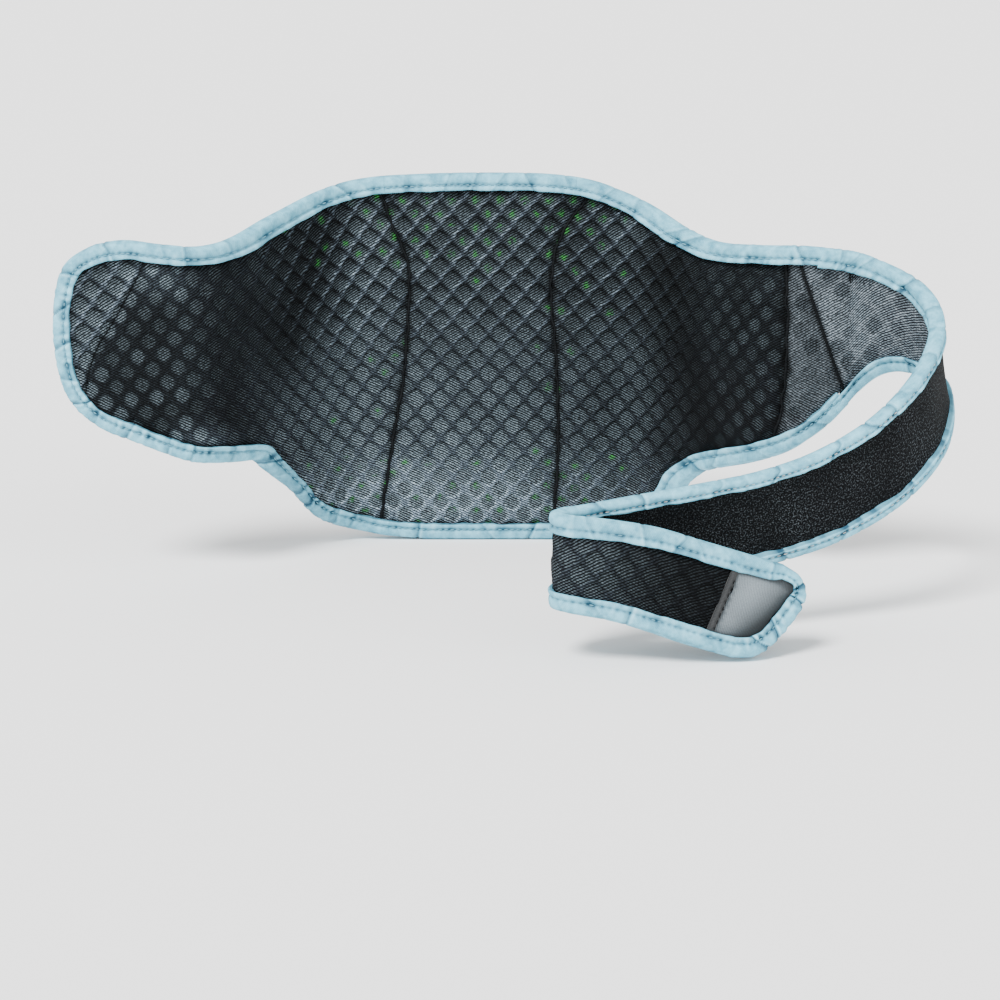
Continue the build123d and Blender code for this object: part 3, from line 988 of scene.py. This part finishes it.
def scattered_creases(at, seed, gathered):
    """Where creases cross a tape, how each slants, and how strong it is."""
    random = np.random.default_rng(int(seed * 10))
    spots = np.cumsum(random.uniform(5, 16, int(at[-1] / 8)))
    slants = random.uniform(-0.9, 0.9, len(spots))
    strengths = random.uniform(0.15, 0.95, len(spots)) ** 1.5
    return list(zip(spots, slants, strengths + 0.8 * np.interp(spots, at, gathered)))


def crease_marks(at, creases, offset):
    """How deep each point of a tape lies in a crease, and the painted light and shade beside creases."""
    folds, shade = 0 * at, 0 * at
    for spot, slant, strength in creases:
        middle = spot + slant * offset
        folds = folds + strength * hill(at, middle, 0.5)
        shade = shade + strength * (0.5 * hill(at, middle + 1.1, 0.9) - 0.4 * hill(at, middle - 0.9, 0.6))
    return folds, shade


def tape_rows(at, width, tuck, gathered, seed, wall, depth):
    """The tape's section, row by row: way in from the edge, lift and painted shade and highlight along the
    path.
    """
    joined = ramp(at, 0, 5) * ramp(at[-1] - at, 0, 5)
    wobble = joined * wave(at + seed, (23, 0.28, seed), (11.3, 0.20, seed * 2), (6.1, 0.10, seed * 3))
    crumple = joined * wave(at + seed, (4.7, 0.16, seed), (3.1, 0.12, seed * 1.7), (2.45, 0.07, 0))
    dimple = 0.5 + 0.5 * np.cos(2 * math.pi * at / STITCH_PITCH)
    creases = scattered_creases(at, seed, gathered)
    edges = {1: -1.15 + wall.proud, -1: -depth + 1.15 - wall.proud}
    middle = (edges[1] + edges[-1]) / 2
    section = [(share, 1, rise) for share, rise in TAPE_SECTION] + [(0.0, 0, 0.0)]
    section += [(share, -1, rise) for share, rise in TAPE_SECTION[::-1]]
    for share, side, rise in section:
        ripple = (wobble * 0.6 + crumple * (0.35 + 1.6 * gathered)) * hill(share, 0.72, 0.28)
        edge = wobble * 0.5 * (share > 0.9) + gathered * crumple * 0.8 * (share < 0.3)
        seam = hill(share, SEAM_SHARE, 0.08)
        folds, shade = [joined * mark for mark in crease_marks(at, creases, (share - 0.5) * width)]
        if side:
            spread = edges[side] + side * wall.flare * share
            puff = 0.85 * rise + ripple - seam * dimple * 0.22 - 0.5 * folds
            lift = middle + (spread - middle) * min(1.0, share * 7 + 0.35) + side * puff
            way_in = tuck + width * share * (wall.back if side < 0 else 1.0) + edge
        else:
            lift, way_in = middle, tuck + edge - 0.25
        # Painted shade in the stitch dimples, ripple troughs and creases, along the tape's inner edges and
        # where it is tucked; painted highlights on ripple crests and beside creases.
        painted_shade = seam * (0.15 + 0.5 * dimple) + np.clip(-ripple * 2.2, 0, 1) * 0.7 + 0.5 * (share > 0.99)
        painted_shade = painted_shade + 0.85 * folds + shade - np.clip(ripple * 1.1, 0, 0.4) + 0.12 * tuck
        across = share * BINDING_WIDTH * (1 if side >= 0 else -1)
        yield way_in + 0.35 * folds * (share < 0.3), lift, np.clip(painted_shade, -0.7, 1), across + 0 * at


def tape(name, path, wall, seed, inward=1.0, puckers=(), tucks=(), slims=(), ease=1.5):
    """Binding folded over an edge that runs along a path, with the line it is sewn along.

    Tucks draw its outer edge in and slims draw its inner edge out, each over a stretch of the path.
    """
    path, at = even(path, TAPE_STEP)
    normals = eased(right_normals(path) * inward, at[1] - at[0], ease)
    tuck = humps(at, tucks)
    width = BINDING_WIDTH - tuck - humps(at, slims)
    section = tape_rows(at, width, tuck, humps(at, puckers), seed, wall, wall.depth(path[:, 0]))
    ways_in, lifts, painted_shades, across = [np.stack(parts) for parts in zip(*section)]
    points = path + normals * ways_in[..., None]
    grid = wall.point(points[..., 0], points[..., 1], lifts)
    rows, columns = grid.shape[:2]
    first, last_row = np.arange(rows) * columns, (rows - 1) * columns
    faces = grid_faces(rows, columns) + [first[::-1].tolist(), (first + columns - 1).tolist()]
    faces += [[last_row + c, c, c + 1, last_row + c + 1] for c in range(columns - 1)]
    uv = np.stack([at + 0 * across, across], -1).reshape(-1, 2)
    # The tape's painted shade and painted highlights are stored on the mesh as an attribute.
    piece = new_piece(name, grid.reshape(-1, 3), faces, {"painted_shading": painted_shades.ravel()}, uv)
    seam_in = width * SEAM_SHARE
    return piece, SewnLine(path, normals, at, tuck + seam_in, tuck + seam_in * wall.back)


def stitches(name, line, point, lift, side=1.0, size=(1.45, 0.4, 0.26)):
    """A row of small rounded stitches along a sewn line, as one piece."""
    rings, sides = 5, 6
    length, width, height = size
    middles = np.arange(STITCH_PITCH / 2, line.at[-1] - STITCH_PITCH / 2, STITCH_PITCH)[:, None, None]
    along = -0.96 * np.cos(math.pi * np.arange(rings) / (rings - 1))[:, None]
    angle = 2 * math.pi * np.arange(sides) / sides
    thick = np.sqrt(1 - along * along)
    where = middles + along * length / 2 + 0 * angle
    inset_by = line.front if side > 0 else line.back
    x, z, in_x, in_z, inwards = [np.interp(where, line.at, values)
                                 for values in (*line.path.T, *line.normals.T, inset_by)]
    out = inwards + np.cos(angle) * width / 2 * thick
    up = lift + side * (np.sin(angle) * height * thick + 0.12)
    vertices = point(x + in_x * out, z + in_z * out, up).reshape(-1, 3)
    one = tube_faces(rings, sides)
    starts = range(0, len(vertices), rings * sides)
    faces = [[start + number for number in face] for start in starts for face in one]
    return new_piece(name, vertices, faces)


def stretch(path, x_from, x_to):
    """The part of a path between two places x, cut exactly; x rises or falls along the path."""
    order = path if path[0, 0] < path[-1, 0] else path[::-1]
    low, high = max(x_from, order[0, 0]), min(x_to, order[-1, 0])
    inside = order[(order[:, 0] > low + 0.2) & (order[:, 0] < high - 0.2)]
    ends = [[x, np.interp(x, order[:, 0], order[:, 1])] for x in (low, high)]
    part = np.vstack([[ends[0]], inside, [ends[1]]])
    return part if order is path else part[::-1]


def build_body_binding():
    tip = int(np.argmin(TOP_PATH[:, 0]))
    upper = TOP_PATH[tip:]
    flare = stretch(BOTTOM_PATH, -200, SPLIT_LEFT)[::-1]
    left_path = np.vstack([flare[:-1], TOP_PATH[:tip], stretch(upper, -200, SPLIT_LEFT)])
    flare_right = stretch(BOTTOM_PATH, SPLIT_RIGHT, 200)
    right_path = np.vstack([flare_right[:-1], stretch(RIGHT_PATH, -200, OVERLAP_X + 3)])[::-1]
    left_puckers = ((34, 12, 0.9), (62, 5, 0.9), (88, 8, 0.6), (112, 9, 0.8), (136, 8, 0.8),
                    (160, 9, 0.8), (182, 6, 0.8), (206, 5, 0.6))
    runs = [
        ("left", left_path, left_puckers, ((42, 17, 3.0),), "left_wing_binding", to_left),
        ("centre_top", stretch(upper, SPLIT_LEFT, SPLIT_RIGHT), (), (), "centre_top_binding", to_centre),
        ("centre_bottom", stretch(BOTTOM_PATH, SPLIT_LEFT, SPLIT_RIGHT)[::-1], (), (),
         "centre_bottom_binding", to_centre),
        ("right_top", stretch(upper, SPLIT_RIGHT, RIBBON_START_X + 0.6),
         ((44, 3, 0.7), (68, 3, 0.6), (82, 3, 0.6)), (), "right_wing_top_binding", to_right),
        ("right_bottom", right_path, ((66, 6, 0.6),), (), "right_wing_bottom_binding", to_right),
    ]
    for seed, (name, path, puckers, tucks, node, place) in enumerate(runs, 1):
        piece, line = tape("binding_" + name, path, BODY_WALL, float(seed), puckers=puckers, tucks=tucks)
        join(piece, "binding", "binding_tape", place, node)
        join(stitches("stitches_" + name, line, body_point, 0.1), "pale_thread", "thread", place)


# ---- Seams across the body

def seam_cord(name, x, z, radius, lift, flatness, place, *nodes):
    """The sewn line between two panels: a thin twisted ridge lying in its groove."""
    sides = 8
    angle = 2 * math.pi * np.arange(sides) / sides
    swell = (radius * (1 + 0.25 * np.sin(2 * math.pi * z / STITCH_PITCH)))[:, None]
    lift = (body_lift(x, z) + lift)[:, None] + np.sin(angle) * swell * flatness
    vertices = body_point(x[:, None] + np.cos(angle) * swell, z[:, None], lift)
    piece = new_piece(name, vertices.reshape(-1, 3), tube_faces(len(z), sides))
    join(piece, "dark_thread", "seam_thread", place, *nodes)


def build_seams():
    for name, rows, radius, place, nodes in (
            ("seam_left", LEFT_SEAM, 0.55, to_centre, ["left_panel_seam"]),
            ("seam_right", RIGHT_SEAM, 0.55, to_centre, ["right_panel_seam"]),
            ("seam_gusset", GUSSET_SEAM, 0.5, to_right, [])):
        z = np.linspace(7, 139, 190)
        x = bend_table(rows, z) + wave(z, (7, 0.18, 0.3), (12, 0.25, 1.0))
        keep = edge_room(x, z) > -0.5
        seam_cord(name, x[keep], z[keep], radius, 0.15, 0.7, place, *nodes)
    z = np.linspace(68, 118, 90)
    seam_cord("seam_root", bend_table(ROOT_SEAM, z), z, 0.45, 0.5, 0.6, to_right, "strap_root_seam")


# ---- The strap

# Rows of stitches: the face's name, their lift and which way they stand out
STRAP_FACES = (("skin", 0.15, 1.0), ("outside", -STRAP_THICKNESS - 1.25, -1.0))

# Layers of cloth: name, what it rests on, slot, margin to the strap's edge and lift
STRAP_CLOTHS = (("liner_", "pile_", "flat_mesh", STRAP_INSET, 0.0),
                ("pile_", "liner_", "loop_pile", PILE_INSET, -STRAP_THICKNESS))


def ribbon_grid(rows, columns):
    """As unit_grid, but from -1 to 1 down the rows, which go across the strap."""
    t, s = unit_grid(rows, columns)
    return 2 * t - 1, s


def strap_slab(name, run, across, front, back, uv, attributes=None):
    """A layer of the strap between two lifts off its skin face."""
    lifts = [strap_point(run, across, lift + 0 * run) for lift in (front, back)]
    return slab(name, *lifts, attributes, np.stack(uv, -1))


def strap_layer(name, run_from, stop, margin, inner, step, pattern):
    """One layer of the strap from a run to where stop(across) says that it ends."""
    furthest = float(np.max(stop(np.linspace(-11, 11, 9))))
    columns = max(3, int((furthest - run_from) / step))
    rows = max(6, int(STRAP_WIDTH / step))
    t, s = ribbon_grid(rows, columns)
    run = run_from + (stop(t * 12.0) - run_from) * s
    wide = half_width(run) - margin
    across = t * wide
    u, v = run - STRAP_RISE + arc_length(OVERLAP_X), across + STRAP_MIDDLE_Z
    metric, number, sideways, up = honeycomb(*turned(u, v, 3))
    cell, shading = cell_shading(metric, sideways, up, 0.35)
    shading = 1 + 0.6 * (shading - 1)
    start = ramp(-run, -62, -40)
    shading = shading + (sparse_shading(metric, number)[1] - shading) * start
    crown = 0.8 * (1 - np.exp(-(wide - np.abs(across)) / 5.0)) - 0.5
    ripple = wave(run + across * 0.4, (37, 0.25, 1.0), (21, 0.15, 0.3)) * 0.6
    lift = inner + crown + ripple - 1.6 * ramp(-run, -22, -7) - 0.45 * pattern * cell
    # Painted light: the cells' painted light and shade, brightest just past the fold and darker away from
    # it; paler, with a sparser cell pattern, at the strap's start.
    tone_and_painted_light = shading * (0.14 + 0.75 * hill(run, FOLD_RUN + 12, 20) + 2.7 * start)
    attributes = {"cell": cell * pattern, "green": 0 * cell, "tone_and_painted_light": tone_and_painted_light}
    return strap_slab(name, run, across, lift, -STRAP_THICKNESS / 2, [u, v], attributes)


def strap_pair(end, start, stop, length, place, looks):
    """The strap's facing and its pile; looks are (material, width, step, pattern, nodes) of each."""
    for cloth, (material, width, step, pattern, nodes) in zip(STRAP_CLOTHS, looks):
        name, other, slot, margin, inner = cloth
        piece = strap_layer(name + end, start, stop, margin, inner, step, pattern)
        join(piece, material, slot, place, *nodes)
        length * MM


def run_across(line, across):
    """Where a line over the strap's front leg lies along the strap, for a place across it."""
    x, places = np.array(line, float).T
    return np.interp(across, places, run_at_x(x))


def end_run(across):
    """Where the strap's inner outline ends, for a place across it."""
    return run_across(END_CURVE, across) - END_INSET


def strap_path(run_from, run_to, side):
    run = np.linspace(run_from, run_to, max(3, int(run_to - run_from)))
    return np.stack([run, side * half_width(run)], 1)


def end_path():
    """The strap end's edge: along the top, round the end and back along the bottom."""
    curve = spline([(run_at_x(x), across) for x, across in END_CURVE], 0.8)
    bottom = strap_path(END_START, curve[0, 0] - 1.5, -1)
    top = strap_path(END_START, curve[-1, 0] - 1.5, 1)[::-1]
    return np.vstack([bottom, curve, top])[::-1]


def path_distance(path, run, across):
    """How far each point is from a path."""
    gaps = np.stack([run.ravel(), across.ravel()], 1)[:, None, :] - path[None, :, :]
    return np.min(np.linalg.norm(gaps, axis=2), axis=1).reshape(run.shape)


def strap_binding(name, path, seed, way, outer, place, **shape):
    """Tape folded over an edge of the strap, with a row of stitches on each face."""
    piece, line = tape("binding_" + name, path, STRAP_WALL, seed, way, **shape)
    join(piece, "binding", "binding_tape", place, name + "_binding")
    for face, lift, out in STRAP_FACES:
        row = stitches("stitches_" + name + "_" + face, line, strap_point, lift, out)
        join(row, outer if face == "outside" else "pale_thread", "thread", place)


def build_strap():
    start = STATION_RUN[1]
    looks = ("flat", 0.029, 0.8, 0.5, ["strap_liner"]), ("pile", 0.0338, 0.9, 0.0, ["strap_pile"])
    strap_pair("strap", start, lambda across: END_START + 0 * across, END_START - start, to_strap, looks)
    for name, run_from, way, seed, puckers in (
            ("strap_top", 0.0, 1.0, 6.0, ((8, 4, 0.6), (22, 5, 0.6), (34, 5, 0.5))),
            ("strap_bottom", STRAP_RISE, -1.0, 7.0, ((2, 3, 0.5),))):
        path = strap_path(run_from, END_START, way)
        strap_binding(name, path, seed, way, "white_thread", to_strap, puckers=puckers)


def build_strap_end():
    length = float(np.mean(end_run(np.array([-10.0, 0.0, 10.0]))) - END_START)
    looks = (("mesh", 0.0235, 0.7, 1.0, ["strap_end_liner", "strap_fold"]),
             ("pile", 0.0283, 1.0, 0.0, ["strap_end_pile"]))
    strap_pair("strap_end", END_START, end_run, length, to_end, looks)
    path = end_path()
    corner = float(run_along(path)[int(np.argmax(path[:, 0] + path[:, 1] * 1.2))])
    puckers = ((corner + 2, 4, 0.7), (corner + 10, 6, 0.8), (corner + 19, 6, 0.9), (corner + 31, 7, 0.8))
    strap_binding("strap_end", path, 8.0, 1.0, "pale_thread", to_end, puckers=puckers,
                  slims=((corner - 3, 8, 2.3),), ease=3.0)


def patch_start(across):
    """Where the patch's inner end lies along the strap, for a place across it."""
    return run_across(PATCH_LINE, across)


def build_patch():
    """The hook patch, crowned between its sewn edges."""
    t, s = ribbon_grid(44, 40)
    across = PATCH_HALF_WIDTH * (t + 0.26 * np.clip(t, 0, 1) * ramp(s, 0.2, 0.9))
    first = patch_start(across) + PATCH_STRIP_WIDTH
    last = end_run(across) + 0.3 + 1.8 * ramp(across, 3, 10)
    run = first + (last - first) * s
    start = 1 - np.exp(-8.0 * s)
    room = path_distance(end_path(), run, across)
    crown = 1.6 * start * ramp(room, 5.9, 10.5) - 0.1
    # Painted light: brighter to the left and top, painted shade to the right and low down, painted shadow
    # next to the tape round the end and next to the strip.
    tone_and_painted_light = 1.1 - 1.0 * ramp(s - 0.25 * across / PATCH_HALF_WIDTH, 0.1, 0.9)
    tone_and_painted_light = tone_and_painted_light * (0.45 + 0.55 * ramp(room, 6.0, 8.0)) * (0.6 + 0.4 * start)
    patch = strap_slab("hook_patch_cloth", run, across, crown, -0.2, [run, across], {"tone_and_painted_light": tone_and_painted_light})
    join(patch, "hook", "hook_patch", to_end, "hook_patch")


def build_patch_edge():
    """The folded strip along the patch's inner end, and the stitches that hold it."""
    t, s = ribbon_grid(44, 9)
    across = PATCH_HALF_WIDTH * t + 0 * s
    run = patch_start(across) + PATCH_STRIP_WIDTH * 1.15 * s
    crown = 1.5 * np.sin(math.pi * np.clip(s, 0.02, 0.98)) ** 0.5 + wave(across, (5.3, 0.12, 0.2))
    crown = crown * np.clip(6 * (1 - np.abs(t)), 0.15, 1)
    strip = strap_slab("hook_patch_strip", run, across, crown, -0.2, [run, across])
    join(strip, "strip", "edge_strip", to_end, "hook_patch_edge")

    places = PATCH_HALF_WIDTH * t[2:-2, 0]
    path, at = even(np.stack([patch_start(places), places], 1), 0.6)
    inset_by = PATCH_STRIP_WIDTH * 0.75 + 0 * at
    line = SewnLine(path, right_normals(path), at, inset_by, inset_by)
    row = stitches("stitches_patch", line, strap_point, 1.75, size=(1.6, 0.4, 0.28))
    join(row, "dark_thread", "thread", to_end, "patch_stitching")


# ---- Stage

CAMERA_ELEVATION = math.radians(13.0)
CAMERA_DISTANCE = 873.0 * MM
SENSOR_WIDTH = 36.0
LENS = SENSOR_WIDTH * 2.182


def aimed(name, data, location, looking):
    """A placed object whose own -Z axis is turned to a direction."""
    made = link(name, data)
    made.location = Vector(location)
    made.rotation_mode = "QUATERNION"
    made.rotation_quaternion = Vector(looking).to_track_quat("-Z", "Y")
    return made


def build_camera():
    """The product's viewing angle."""
    back = np.array([0, -math.cos(CAMERA_ELEVATION), math.sin(CAMERA_ELEVATION)])
    data = bpy.data.cameras.new("camera")
    data.sensor_width, data.lens = SENSOR_WIDTH, LENS
    data.clip_start, data.clip_end = 0.01, 1000
    place = to_frame([0, 0, TABLE_DROP]) + back * CAMERA_DISTANCE
    bpy.context.scene.camera = aimed("camera", data, place, -back)


def build_stage():
    """A pale floor and soft studio light."""
    mesh = bpy.data.meshes.new("floor")
    mesh.from_pydata([(-300, -300, 0), (300, -300, 0), (300, 300, 0), (-300, 300, 0)], [], [[0, 1, 2, 3]])
    mesh.materials.append(Nodes("floor").finish((0.9, 0.9, 0.9, 1.0), 0.9, specular=0.1))
    link("floor", mesh)

    world = bpy.data.worlds.new("studio")
    world.use_nodes = True
    background = world.node_tree.nodes["Background"]
    background.inputs["Color"].default_value = (1.0, 1.0, 1.0, 1.0)
    background.inputs["Strength"].default_value = 1.2
    bpy.context.scene.world = world
    for name, direction, strength, softness in (
            ("key", (-0.42, -0.55, 0.85), 6.4, 20.0),
            ("fill", (0.8, -0.7, 0.45), 1.0, 50.0)):
        lamp = bpy.data.lights.new(name, "SUN")
        lamp.energy, lamp.angle = strength, math.radians(softness)
        aimed(name, lamp, direction, [-part for part in direction])


# ---- Build it all

build_camera()
build_stage()
build_body()
build_body_binding()
build_seams()
build_strap()
build_strap_end()
build_patch()
build_patch_edge()

bpy.context.view_layer.update()
